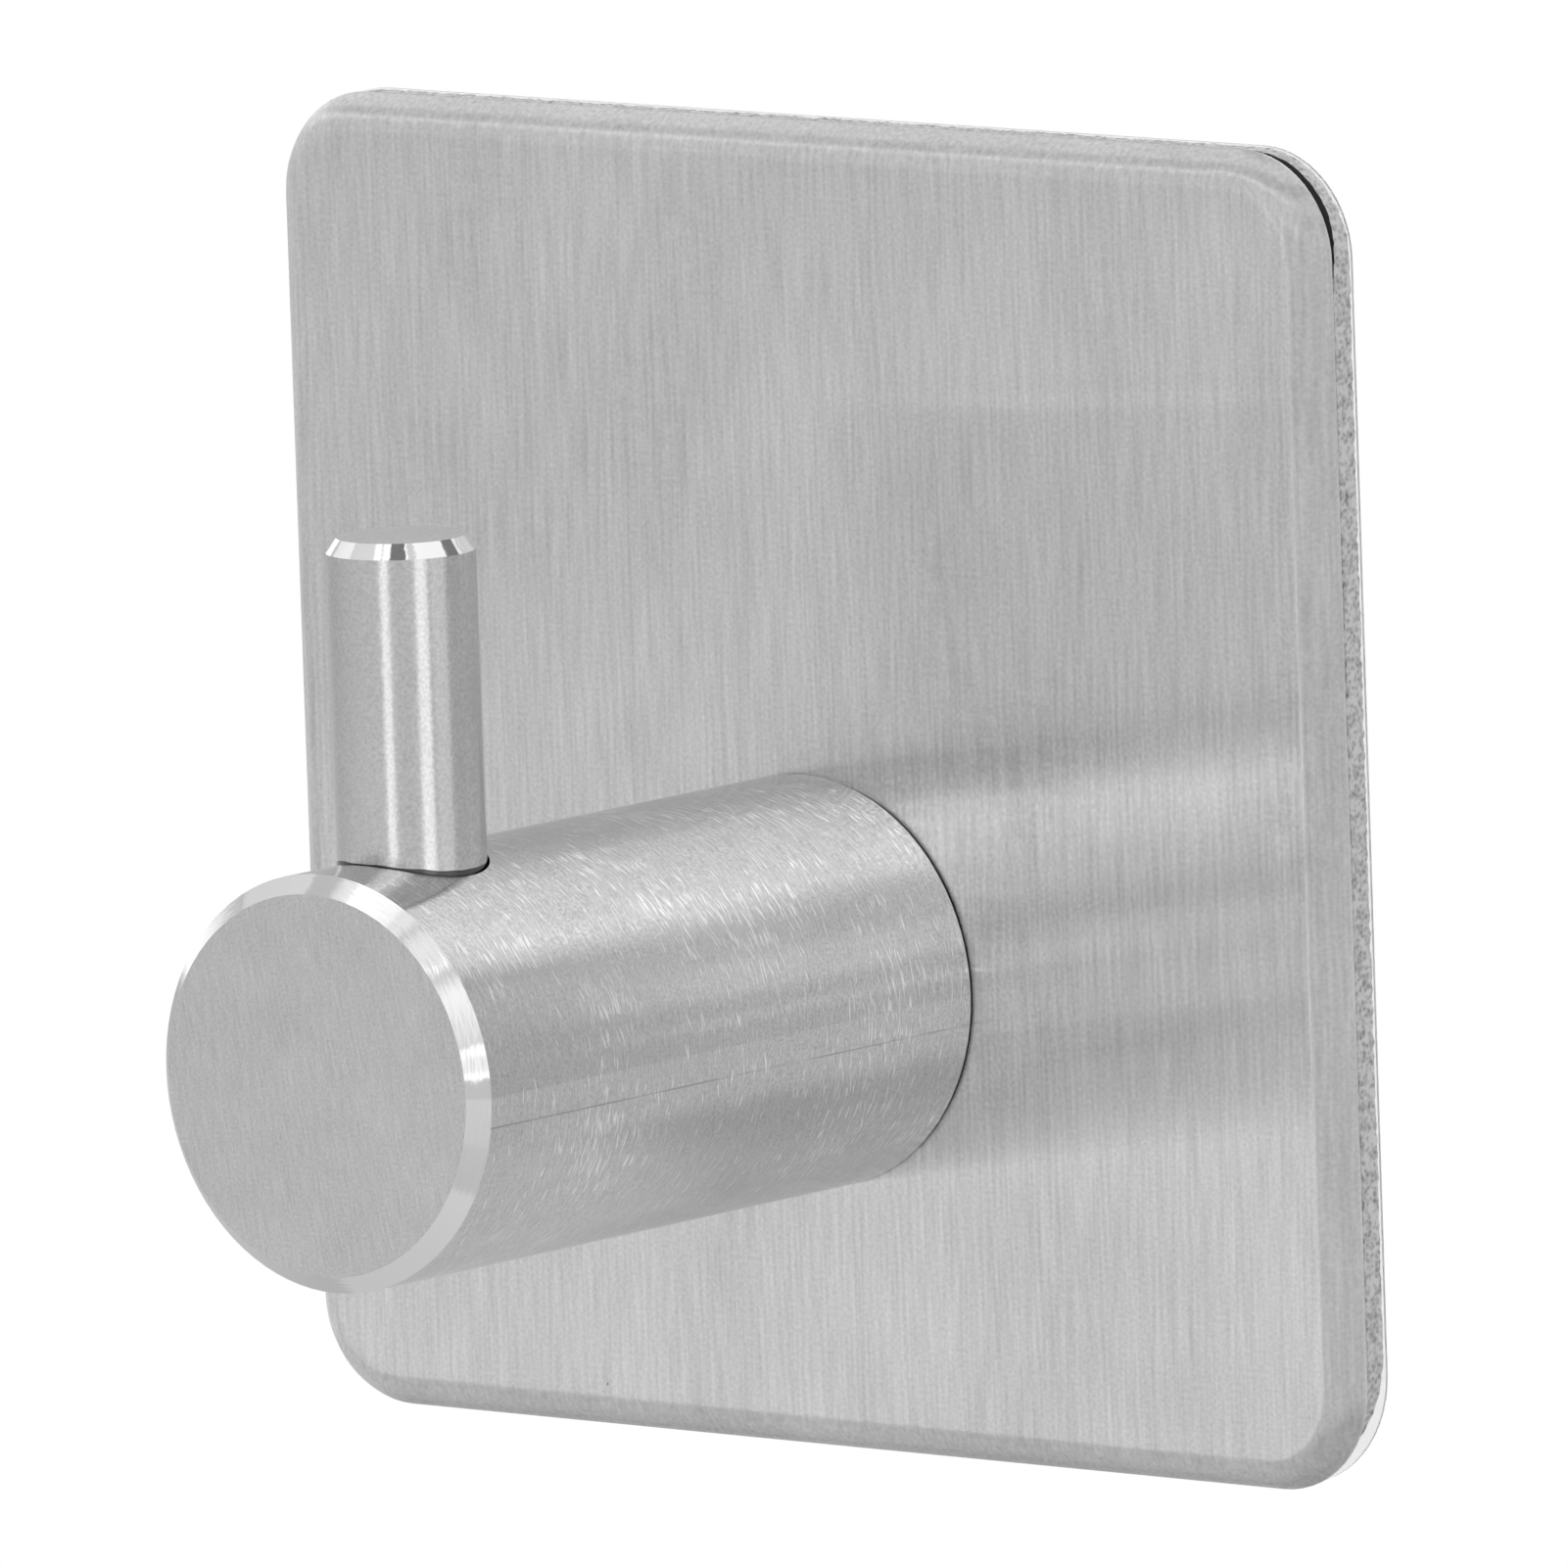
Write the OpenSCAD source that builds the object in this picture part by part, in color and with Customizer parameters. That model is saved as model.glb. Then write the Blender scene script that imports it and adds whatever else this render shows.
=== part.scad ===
// Adhesive wall hook: a stamped steel plate with a turned post and an upright pin,
// stuck to the wall by a foam pad. Millimetres, +Z up. The origin is the middle of
// the wall face, the wall lies towards +Y and the hook stands out towards -Y.

/* [Back plate] */
// Width of the plate
plate_w = 45; // [36:0.5:60]
// Height of the plate
plate_h = 45; // [36:0.5:60]
// Thickness of the sheet
plate_t = 1; // [0.8:0.05:1.2]
// Radius of the plate's corners
plate_corner_r = 3.6; // [2.5:0.1:6]
// Radius that the press rolls onto the front edge, wider than the sheet is thick
plate_roll_r = 1.4; // [1.2:0.05:2]
// Height of the straight land that the roll leaves at the rear of the edge
plate_land = 0.1; // [0.05:0.05:0.3]

/* [Post] */
// Diameter of the bar
post_d = 14; // [11:0.5:18]
// Length of the bar, from the plate to its front face
post_l = 25.9; // [22:0.1:40]
// How far the bar's axis lies below the middle of the plate
post_drop = 6.5; // [0:0.5:9]
// Chamfer turned on the front edge
post_chamfer = 0.6; // [0.2:0.1:1.5]
// Bevel turned on the rear edge, which leaves a fine seam against the plate
post_rear_break = 0.15; // [0.05:0.05:0.4]

/* [Pin] */
// Diameter of the pin
pin_d = 5; // [4:0.1:6]
// Height of the pin above the top of the post
pin_rise = 10.7; // [6:0.1:20]
// Distance from the post's front face back to the pin's axis
pin_setback = 5.3; // [4:0.1:7]
// Length of the pin inside the post
pin_embed = 5.4; // [3:0.1:6.5]
// Width of the chamfer round the pin's top
pin_chamfer_w = 0.35; // [0.1:0.05:1]
// Height of the chamfer round the pin's top
pin_chamfer_h = 0.5; // [0.1:0.05:1]

/* [Fixing screw] */
// Diameter of the thread
screw_d = 4; // [3:0.5:5]
// Length of the screw over its countersunk head
screw_l = 10; // [7:0.5:12]
// Diameter of the countersunk head
screw_head_d = 7.5; // [6.5:0.1:9]
// Width across the flats of the key socket
socket_af = 2.5; // [1.5:0.5:3]
// Depth of the key socket
socket_depth = 1.3; // [0.8:0.1:2]

/* [Adhesive pad] */
// Thickness of the foam with its two adhesive coats
pad_t = 1; // [0.5:0.1:2]
// Corner radius of the pad's lower right corner, cut back from the plate's for peeling
pad_peel_r = 4.8; // [3:0.1:7]
// Thickness of the release film
liner_t = 0.1; // [0.05:0.05:0.2]
// Corner radius of the film's lower right corner, squarer than the pad's for a fingernail
liner_peel_r = 4; // [2.5:0.1:7]

/* [Hidden] */
$fn = 96;

// Lead past a surface that every cut runs to
overrun = 1;
// Bare cylinder above the post before the pin's press taper begins
pin_land = 0.1;
// Diameter lost along the press taper, per unit of length
pin_taper_share = 1 / 50;
// Bevel round the pin's foot
pin_foot_break = 0.3;
// Radial gap between the pin's taper and its hole
press_gap = 0.01;
// Radial gap of the relief bored round the pin, and its depth below the saddle of the hole's mouth
pin_relief_gap = 0.08;
pin_relief_depth = 0.4;
// Straight rim of the screw's head, and the bevel on its tip
screw_rim = 0.15;
screw_tip_break = 0.5;
// Radial gap of the thread, and of the bevel that leads the screw into the post
thread_gap = 0.05;
lead_in_gap = 0.15;
// Depth of thread past the tip of the screw, and the angle of the drill that bored the hole
thread_runout = 2;
drill_angle = 118;

// Corners of the plate, counter-clockwise from the upper right as seen from the front
CORNERS = [[1, 1], [-1, 1], [-1, -1], [1, -1]];

// Distances from the wall out to the faces of the layers
pad_rear = liner_t;
plate_rear = pad_rear + pad_t;
plate_front = plate_rear + plate_t;
post_front = plate_front + post_l;

// Width of the border that the roll takes up
plate_roll_run = sqrt(pow(plate_roll_r, 2) - pow(plate_roll_r - plate_t + plate_land, 2));

post_r = post_d / 2;
pin_r = pin_d / 2;
screw_r = screw_d / 2;
screw_head_r = screw_head_d / 2;

// Height of the post's top, and where the pin stands
post_top = post_r - post_drop;
pin_axis = post_front - pin_setback;
pin_foot = post_top - pin_embed;
pin_l = pin_embed + pin_rise;
pin_taper_l = pin_embed + pin_land;
// How far the post curves away below its top at the side of the pin
pin_saddle = post_r - sqrt(pow(post_r, 2) - pow(pin_r, 2));

// The 90 degree head, and how much of its cone reaches past the sheet into the post
screw_head_h = screw_rim + screw_head_r - screw_r;
screw_cone_left = max(screw_head_h - plate_t, 0);
thread_r = screw_r + thread_gap;
thread_l = screw_l - plate_t + thread_runout;
lead_in_r = screw_r + screw_cone_left + lead_in_gap;
drill_tip_l = thread_r / tan(drill_angle / 2);

// Middle of the arc that rounds a corner of the plate
function corner_middle(i, r) = [CORNERS[i].x * (plate_w / 2 - r), CORNERS[i].y * (plate_h / 2 - r), 0];

// Radius of the pin at a height above its foot
function pin_r_at(height) = pin_r - max(pin_taper_l - height, 0) * pin_taper_share / 2;

// Stands a shape that is drawn lying on its rear face out from the wall
module stand_out(depth) {
    translate([0, -depth, 0])
        rotate([90, 0, 0])
            children();
}

// What a corner of the given radius leaves over from a square corner
module corner_waste(r) {
    difference() {
        square(r + overrun);
        circle(r);
    }
}

// The plate's outline, with a radius for each corner
module outline(radii) {
    difference() {
        square([plate_w, plate_h], center = true);
        for (i = [0:3])
            translate(corner_middle(i, radii[i]))
                rotate(90 * i)
                    corner_waste(radii[i]);
    }
}

// Section of the plate from a line outwards to its edge, where the roll runs out into the land
module border_section(reach) {
    difference() {
        square([reach, plate_t]);
        translate([reach - plate_roll_run, plate_t - plate_roll_r])
            corner_waste(plate_roll_r);
    }
}

// Straight bar of sheet with a rolled edge on both sides
module rolled_bar(wide, long) {
    rotate([90, 0, 0])
        linear_extrude(long, center = true) {
            border_section(wide / 2);
            mirror([1, 0])
                border_section(wide / 2);
        }
}

// The stamped sheet: two crossing bars and a quarter turn of the same edge at each corner
module rolled_sheet() {
    rolled_bar(plate_w, plate_h - 2 * plate_corner_r);
    rotate(90)
        rolled_bar(plate_h, plate_w - 2 * plate_corner_r);
    for (i = [0:3])
        translate(corner_middle(i, plate_corner_r))
            rotate(90 * i)
                rotate_extrude(angle = 90)
                    border_section(plate_corner_r);
}

// Countersunk hole that seats the head of the screw flush with the rear of the sheet
module screw_seat() {
    translate([0, -post_drop, -overrun]) {
        cylinder(h = plate_t + 2 * overrun, r = thread_r);
        cylinder(h = screw_head_h + overrun, r1 = screw_head_r + screw_rim + overrun, r2 = screw_r);
    }
}

module back_plate() {
    color("#b9b9b9")
        stand_out(plate_rear)
            difference() {
                rolled_sheet();
                screw_seat();
            }
}

// The bar with its tapped blind hole, as a turned profile from the rear end to the front face
module turned_bar() {
    rotate_extrude()
        polygon([
            [lead_in_r, 0],
            [post_r - post_rear_break, 0],
            [post_r, post_rear_break],
            [post_r, post_l - post_chamfer],
            [post_r - post_chamfer, post_l],
            [0, post_l],
            [0, thread_l + drill_tip_l],
            [thread_r, thread_l],
            [thread_r, lead_in_r - thread_r],
        ]);
}

// Tapered hole for the pin, with a relief round its mouth
module pin_hole() {
    translate([0, -pin_axis, pin_foot])
        cylinder(
            h = pin_embed + overrun,
            r1 = pin_r_at(0) + press_gap,
            r2 = pin_r_at(0) + press_gap + (pin_embed + overrun) * pin_taper_share / 2
        );
    translate([0, -pin_axis, post_top - pin_saddle - pin_relief_depth])
        cylinder(h = pin_saddle + pin_relief_depth + overrun, r = pin_r + pin_relief_gap);
}

module post() {
    color("#b4b4b4")
        difference() {
            stand_out(plate_front)
                translate([0, -post_drop, 0])
                    turned_bar();
            pin_hole();
        }
}

module hook_pin() {
    color("#c6c6c6")
        translate([0, -pin_axis, pin_foot])
            rotate_extrude()
                polygon([
                    [0, 0],
                    [pin_r_at(0) - pin_foot_break, 0],
                    [pin_r_at(pin_foot_break), pin_foot_break],
                    [pin_r, pin_taper_l],
                    [pin_r, pin_l - pin_chamfer_h],
                    [pin_r - pin_chamfer_w, pin_l],
                    [0, pin_l],
                ]);
}

// Screw with a plain shank in place of its thread, head towards the wall
module fixing_screw() {
    color("#8f8f8f")
        stand_out(plate_rear)
            translate([0, -post_drop, 0])
                difference() {
                    rotate_extrude()
                        polygon([
                            [0, 0],
                            [screw_head_r, 0],
                            [screw_head_r, screw_rim],
                            [screw_r, screw_head_h],
                            [screw_r, screw_l - screw_tip_break],
                            [screw_r - screw_tip_break, screw_l],
                            [0, screw_l],
                        ]);
                    translate([0, 0, -overrun])
                        cylinder(h = socket_depth + overrun, d = socket_af / cos(30), $fn = 6);
                }
}

module foam_pad() {
    color("#9a9a9a")
        stand_out(pad_rear)
            linear_extrude(pad_t)
                outline([plate_corner_r, plate_corner_r, plate_corner_r, pad_peel_r]);
}

module release_liner() {
    color("#f4f4f4")
        stand_out(0)
            linear_extrude(liner_t)
                outline([plate_corner_r, plate_corner_r, plate_corner_r, liner_peel_r]);
}

back_plate();
post();
hook_pin();
fixing_screw();
foam_pad();
release_liner();
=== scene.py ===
# %% [markdown]
# # An adhesive wall hook in brushed steel
# The hook is a stamped steel plate, a turned post that is screwed on from behind, an upright
# pin pressed into the post, and a foam pad under a release film that sticks it to the wall.
# The shapes come from the CAD frame. This lesson gives them their finishes, models the foam
# pad, and sets up a small studio. Everything is in metres, with +Z up and the wall at +Y.

# %% Load the CAD frame
import math

import bpy
from mathutils import Matrix, Vector


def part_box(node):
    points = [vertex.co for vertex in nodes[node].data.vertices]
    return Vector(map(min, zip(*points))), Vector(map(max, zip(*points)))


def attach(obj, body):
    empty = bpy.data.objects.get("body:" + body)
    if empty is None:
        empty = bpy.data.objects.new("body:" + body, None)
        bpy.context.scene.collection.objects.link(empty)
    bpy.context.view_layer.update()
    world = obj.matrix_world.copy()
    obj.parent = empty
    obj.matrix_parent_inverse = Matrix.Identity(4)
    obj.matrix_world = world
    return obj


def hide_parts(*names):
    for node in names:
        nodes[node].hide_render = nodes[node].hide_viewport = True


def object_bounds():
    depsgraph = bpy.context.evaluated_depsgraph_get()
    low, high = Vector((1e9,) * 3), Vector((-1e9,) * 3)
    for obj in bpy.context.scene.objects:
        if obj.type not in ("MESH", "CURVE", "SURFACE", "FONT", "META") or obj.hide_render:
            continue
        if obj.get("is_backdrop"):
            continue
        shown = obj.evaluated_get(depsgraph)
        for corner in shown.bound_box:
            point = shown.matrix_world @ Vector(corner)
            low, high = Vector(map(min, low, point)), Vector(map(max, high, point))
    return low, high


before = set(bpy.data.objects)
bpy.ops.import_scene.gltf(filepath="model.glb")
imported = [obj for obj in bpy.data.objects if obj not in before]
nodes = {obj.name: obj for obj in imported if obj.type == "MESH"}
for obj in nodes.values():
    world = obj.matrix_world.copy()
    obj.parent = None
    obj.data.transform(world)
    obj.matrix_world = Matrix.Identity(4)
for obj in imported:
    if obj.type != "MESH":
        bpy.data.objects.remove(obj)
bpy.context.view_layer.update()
MM = 0.001
print("CAD nodes:", ", ".join(sorted(nodes)))

# %% [markdown]
# ## The camera
# The place of the camera was worked out from the straight edges of the plate and the ends of
# the post: a long lens, a little above the hook and to its right, tilted by two degrees. A
# direction is written as an azimuth, which is 0 in front of the hook and 90 at its right, and
# an elevation above the horizon, because that is how one walks round an object.


# %% Place the camera
def direction(azimuth, elevation):
    a = math.radians(azimuth)
    e = math.radians(elevation)
    return Vector((math.sin(a) * math.cos(e), -math.cos(a) * math.cos(e), math.sin(e)))


CAMERA_AZIMUTH = 39.405
CAMERA_ELEVATION = 8.163
CAMERA_ROLL = -1.95
CAMERA_DISTANCE = 1.0992
CAMERA_TARGET = Vector((0.012174, -0.018, 0.003046))
PHOTO_WIDTH = 1601
FOCAL_PIXELS = 34055.5

turn = Matrix.Rotation(math.radians(CAMERA_AZIMUTH), 3, "Z")
tip = Matrix.Rotation(math.radians(90 - CAMERA_ELEVATION), 3, "X")
roll = Matrix.Rotation(math.radians(CAMERA_ROLL), 3, "Z")
bpy.ops.object.camera_add(
    location=CAMERA_TARGET + direction(CAMERA_AZIMUTH, CAMERA_ELEVATION) * CAMERA_DISTANCE,
    rotation=(turn @ tip @ roll).to_euler(),
)
camera = bpy.context.object
camera.name = "camera"
camera.data.lens = FOCAL_PIXELS / PHOTO_WIDTH * camera.data.sensor_width
bpy.context.scene.camera = camera
bpy.context.scene.view_settings.view_transform = "Standard"
print("Camera lens in mm:", round(camera.data.lens, 1))

# %% [markdown]
# ## Helpers for materials
# Colours are picked as sRGB hex values, and the shaders want linear light, so one function
# turns the one into the other. The second adds a node with its settings and links, and the
# third starts a material with an empty node tree.


# %% Colour and node helpers
def linear(hex_colour):
    channels = [int(hex_colour[i : i + 2], 16) / 255 for i in (1, 3, 5)]
    return (*(c / 12.92 if c <= 0.04045 else ((c + 0.055) / 1.055) ** 2.4 for c in channels), 1)


def add(tree, kind, inputs=None, **settings):
    made = tree.nodes.new(kind)
    for name, value in settings.items():
        setattr(made, name, value)
    for socket, value in (inputs or {}).items():
        if isinstance(value, bpy.types.NodeSocket):
            tree.links.new(value, made.inputs[socket])
        else:
            made.inputs[socket].default_value = value
    return made


def new_material(name):
    material = bpy.data.materials.new(name)
    material.use_nodes = True
    material.node_tree.nodes.clear()
    return material, material.node_tree


# %% [markdown]
# ## The studio
# The photograph has a pure white ground and no shadow, so the floor is white and lies well
# below the hook. Rays from the camera, from shiny surfaces and through the clear film see it,
# and the sky, as white at strength 1. Dull surfaces get a softer sky and the light of the lamps.

# %% Make the white sky and the floor
SKY_FOR_DULL_SURFACES = 0.8
FLOOR_DROP = 0.8
FLOOR_SIZE = 20


def seen_directly(tree):
    path = add(tree, "ShaderNodeLightPath").outputs
    seen = {0: path["Is Camera Ray"], 1: path["Is Glossy Ray"]}
    seen = add(tree, "ShaderNodeMath", seen, operation="MAXIMUM").outputs[0]
    seen = {0: seen, 1: path["Is Transmission Ray"]}
    return add(tree, "ShaderNodeMath", seen, operation="MAXIMUM").outputs[0]


world = bpy.data.worlds.new("white_studio")
bpy.context.scene.world = world
world.use_nodes = True
tree = world.node_tree
tree.nodes.clear()
seen = seen_directly(tree)
level = {"Value": seen, "To Min": SKY_FOR_DULL_SURFACES, "To Max": 1}
level = add(tree, "ShaderNodeMapRange", level).outputs[0]
sky = add(tree, "ShaderNodeBackground", {"Color": linear("#ffffff"), "Strength": level})
add(tree, "ShaderNodeOutputWorld", {"Surface": sky.outputs[0]})

bpy.ops.object.select_all(action="DESELECT")
bpy.ops.mesh.primitive_plane_add(size=FLOOR_SIZE, location=(0, 0, -FLOOR_DROP))
floor = bpy.context.object
floor.name = "floor"
material, tree = new_material("white_paper_floor")
seen = seen_directly(tree)
paper = add(tree, "ShaderNodeBsdfDiffuse", {"Color": linear("#f4f4f4")})
white = add(tree, "ShaderNodeEmission", {"Color": linear("#ffffff"), "Strength": 1})
shown = add(tree, "ShaderNodeMixShader", {0: seen, 1: paper.outputs[0], 2: white.outputs[0]})
add(tree, "ShaderNodeOutputMaterial", {"Surface": shown.outputs[0]})
floor.data.materials.append(material)
floor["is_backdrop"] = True
print("Floor below the hook in m:", FLOOR_DROP)

# %% [markdown]
# ## A light tent
# Bright metal shows what stands round it more than its own colour, so a hook like this is
# photographed in a tent of white cloth. A sphere round the hook is that tent. It is open at
# the back, where the hook sees the white ground. Its cloth glows more towards the front and
# the top, a pale table sheet lies in its lower part, and the camera looks in through a slot,
# which the post shows as a dark line along its right side. The tent is hidden from the camera
# and from rays through the clear film, so that both see the white ground behind it.

# %% Raise the light tent
TENT_RADIUS = 0.65
TENT_BACK_OPENING = 0.87

bpy.ops.object.select_all(action="DESELECT")
bpy.ops.mesh.primitive_uv_sphere_add(segments=64, ring_count=32, radius=TENT_RADIUS)
tent = bpy.context.object
tent.name = "light_tent"
bpy.ops.object.mode_set(mode="EDIT")
bpy.ops.mesh.select_all(action="SELECT")
bpy.ops.mesh.bisect(
    plane_co=(0, TENT_BACK_OPENING * TENT_RADIUS, 0),
    plane_no=(0, 1, 0),
    clear_outer=True,
)
bpy.ops.mesh.select_all(action="SELECT")
bpy.ops.mesh.normals_make_consistent(inside=True)
bpy.ops.object.mode_set(mode="OBJECT")
tent.visible_camera = False
tent.visible_transmission = False
tent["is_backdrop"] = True
print("Tent faces:", len(tent.data.polygons))

# %% Let the tent's cloth glow
CLOTH_GLOW = 0.55
# How much brighter the cloth is straight towards each of these sides
SIDE_GLOWS = {(0, 0, 1): 0.1, (0, 0, -1): -0.12, (0, -1, 0): 0.23, (-1, 0, 0): 0.05}
TABLE_GLOW = 0.12
TABLE_HEIGHT = -0.145
TABLE_BLUR = 0.025
SLOT_SHADE = -0.35
SLOT_AZIMUTH = 38
SLOT_HALF_WIDTH = 18
SLOT_ELEVATION = 4.5
SLOT_HALF_HEIGHT = 3
SLOT_BLUR = 0.8

material, tree = new_material("white_tent_cloth")
place = add(tree, "ShaderNodeTexCoord").outputs["Object"]
away = add(tree, "ShaderNodeVectorMath", {0: place}, operation="NORMALIZE").outputs[0]
height = add(tree, "ShaderNodeSeparateXYZ", {0: away}).outputs["Z"]
level = CLOTH_GLOW
for side, glow in SIDE_GLOWS.items():
    towards = {0: away, 1: side}
    towards = add(tree, "ShaderNodeVectorMath", towards, operation="DOT_PRODUCT").outputs["Value"]
    towards = add(tree, "ShaderNodeMath", {0: towards, 1: 0}, operation="MAXIMUM").outputs[0]
    level = {0: towards, 1: glow, 2: level}
    level = add(tree, "ShaderNodeMath", level, operation="MULTIPLY_ADD").outputs[0]
table = add(tree, "ShaderNodeMapRange", {
    "Value": height,
    "From Min": TABLE_HEIGHT + TABLE_BLUR,
    "From Max": TABLE_HEIGHT - TABLE_BLUR,
    "To Max": TABLE_GLOW,
}, interpolation_type="SMOOTHSTEP").outputs[0]
level = add(tree, "ShaderNodeMath", {0: level, 1: table}, operation="ADD").outputs[0]

# The slot is dark where a direction is near its azimuth and near its elevation
towards = {0: away, 1: direction(SLOT_AZIMUTH, 0)}
towards = add(tree, "ShaderNodeVectorMath", towards, operation="DOT_PRODUCT").outputs["Value"]
wide = add(tree, "ShaderNodeMapRange", {
    "Value": towards,
    "From Min": math.cos(math.radians(SLOT_HALF_WIDTH + SLOT_BLUR)),
    "From Max": math.cos(math.radians(SLOT_HALF_WIDTH - SLOT_BLUR)),
}, interpolation_type="SMOOTHSTEP").outputs[0]
above = {0: height, 1: math.sin(math.radians(SLOT_ELEVATION))}
above = add(tree, "ShaderNodeMath", above, operation="SUBTRACT").outputs[0]
above = add(tree, "ShaderNodeMath", {0: above}, operation="ABSOLUTE").outputs[0]
high = add(tree, "ShaderNodeMapRange", {
    "Value": above,
    "From Min": math.sin(math.radians(SLOT_HALF_HEIGHT + SLOT_BLUR)),
    "From Max": math.sin(math.radians(SLOT_HALF_HEIGHT - SLOT_BLUR)),
    "To Max": SLOT_SHADE,
}, interpolation_type="SMOOTHSTEP").outputs[0]
level = add(tree, "ShaderNodeMath", {0: wide, 1: high, 2: level}, operation="MULTIPLY_ADD").outputs[0]
glow = add(tree, "ShaderNodeEmission", {"Color": linear("#ffffff"), "Strength": level})
add(tree, "ShaderNodeOutputMaterial", {"Surface": glow.outputs[0]})
tent.data.materials.append(material)
print("Nodes in the tent cloth:", len(tree.nodes))

# %% [markdown]
# ## The lamps
# The streaks on the pin and the white chamfers are the softboxes of the studio, seen in the
# metal. Each lamp is an area light that is given by the direction it lies in and by the angle
# that it fills, seen from the hook, and its power follows from how bright its face should be.

# %% Hang the lamps
LAMP_DISTANCE = 0.5
HOOK_MIDDLE = Vector((0, -0.014, 0))


def softbox(name, azimuth, elevation, wide_angle, high_angle, radiance):
    away = direction(azimuth, elevation)
    bpy.ops.object.light_add(
        type="AREA",
        location=HOOK_MIDDLE + away * LAMP_DISTANCE,
        rotation=away.to_track_quat("Z", "Y").to_euler(),
    )
    lamp = bpy.context.object
    lamp.name = name
    lamp.data.shape = "RECTANGLE"
    lamp.data.size = 2 * LAMP_DISTANCE * math.tan(math.radians(wide_angle / 2))
    lamp.data.size_y = 2 * LAMP_DISTANCE * math.tan(math.radians(high_angle / 2))
    lamp.data.energy = radiance * math.pi * lamp.data.size * lamp.data.size_y
    lamp.visible_camera = False


softbox("ceiling_softbox", 0, 89.9, 46, 46, 0.8)
softbox("front_softbox", 20, 24, 48, 28, 0.25)
softbox("front_right_softbox", 34, 24, 26, 26, 0.4)
softbox("front_tube", 7, 40.5, 32, 6, 3.5)
softbox("top_softbox", 20, 57, 24, 16, 0.4)
softbox("top_left_softbox", -36, 64, 30, 16, 0.55)
softbox("left_softbox", -90, 35, 40, 26, 0.27)
softbox("far_left_strip", -114, 9, 18, 20, 0.9)
softbox("left_back_softbox", -128, 38, 30, 24, 0.38)
softbox("left_strip", 12, -4, 12, 52, 0.82)
softbox("chamfer_softbox", 50, 5, 11, 13, 1.2)
softbox("right_strip", 68, -4, 19, 52, 0.85)
softbox("right_softbox", 96, 8, 26, 40, 0.38)
softbox("right_top_softbox", 92, 54, 60, 16, 0.4)
softbox("back_softbox", 180, 42, 40, 24, 0.28)
softbox("back_floor_softbox", 165, -38, 60, 20, 0.1)
softbox("floor_softbox", -15, -68, 70, 44, 0.18)
print("Lamps:", len(bpy.data.lights))

# %% [markdown]
# ## The grey flags
# Metal that reflects nothing but white looks like paint, so small grey flags are hung between
# the softboxes. The chamfer of the pin shows them as its dark blocks.

# %% Hang the flags
FLAG_DISTANCE = 0.45
FLAG_GREY = linear("#868686")


def flag(name, azimuth, elevation, wide_angle, high_angle):
    away = direction(azimuth, elevation)
    bpy.ops.object.select_all(action="DESELECT")
    bpy.ops.mesh.primitive_plane_add(
        size=2 * FLAG_DISTANCE,
        location=HOOK_MIDDLE + away * FLAG_DISTANCE,
        rotation=away.to_track_quat("Z", "Y").to_euler(),
    )
    cloth = bpy.context.object
    cloth.name = name
    wide = math.tan(math.radians(wide_angle / 2))
    high = math.tan(math.radians(high_angle / 2))
    cloth.scale = (wide, high, 1)
    cloth.visible_camera = False
    cloth.data.materials.append(grey_cloth)
    cloth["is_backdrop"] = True


grey_cloth, tree = new_material("grey_flag_cloth")
dull = add(tree, "ShaderNodeBsdfDiffuse", {"Color": FLAG_GREY})
add(tree, "ShaderNodeOutputMaterial", {"Surface": dull.outputs[0]})
flag("top_flag", 31, 63.5, 17, 8)
flag("right_flag", 145, 39, 20, 14)
print("Flag grey in linear light:", round(FLAG_GREY[0], 3))

# %% [markdown]
# ## The brushed plate
# The sheet was brushed from top to bottom by an abrasive belt before it was stamped. One could
# draw each scratch, but a noise that is stretched along the belt's way gives thousands at once.
# The mapping is of the texture kind, so its scale is the size of one mark, and the noise is not
# normalised, so it swings round zero and several patterns can be added up to one tone.

# %% Marks of the belt
# The belt's grit scores grooves about 0.01 mm wide, so the marks that show are bundles of grooves
BRUSH_MARK = Vector((0.16, 0.16, 3.2)) * MM
GRIT_SPECK = Vector((0.15, 0.15, 0.13)) * MM
BELT_BAND = Vector((0.6, 0.6, 25)) * MM
CLOUD = Vector((7, 7, 9)) * MM
RIPPLE = Vector((1.1, 1.1, 0.45)) * MM

material, tree = new_material("brushed_stainless_sheet")
place = add(tree, "ShaderNodeTexCoord").outputs["Object"]
marks = {}
for name, size, detail in (
    ("brush", BRUSH_MARK, 1),
    ("speck", GRIT_SPECK, 0),
    ("band", BELT_BAND, 1),
    ("cloud", CLOUD, 2),
    ("ripple", RIPPLE, 1),
):
    spread = add(tree, "ShaderNodeMapping", {"Vector": place, "Scale": size}, vector_type="TEXTURE")
    noise = {"Vector": spread.outputs[0], "Scale": 1, "Detail": detail}
    marks[name] = add(tree, "ShaderNodeTexNoise", noise, normalize=False).outputs["Fac"]
# Faint smears show only where the clouds are palest
smear = {"Value": marks["cloud"], "From Min": 0.1, "From Max": 0.5}
smear = add(tree, "ShaderNodeMapRange", smear, interpolation_type="SMOOTHSTEP")
smear = {0: smear.outputs[0], 1: marks["ripple"]}
marks["smear"] = add(tree, "ShaderNodeMath", smear, operation="MULTIPLY").outputs[0]

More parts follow.
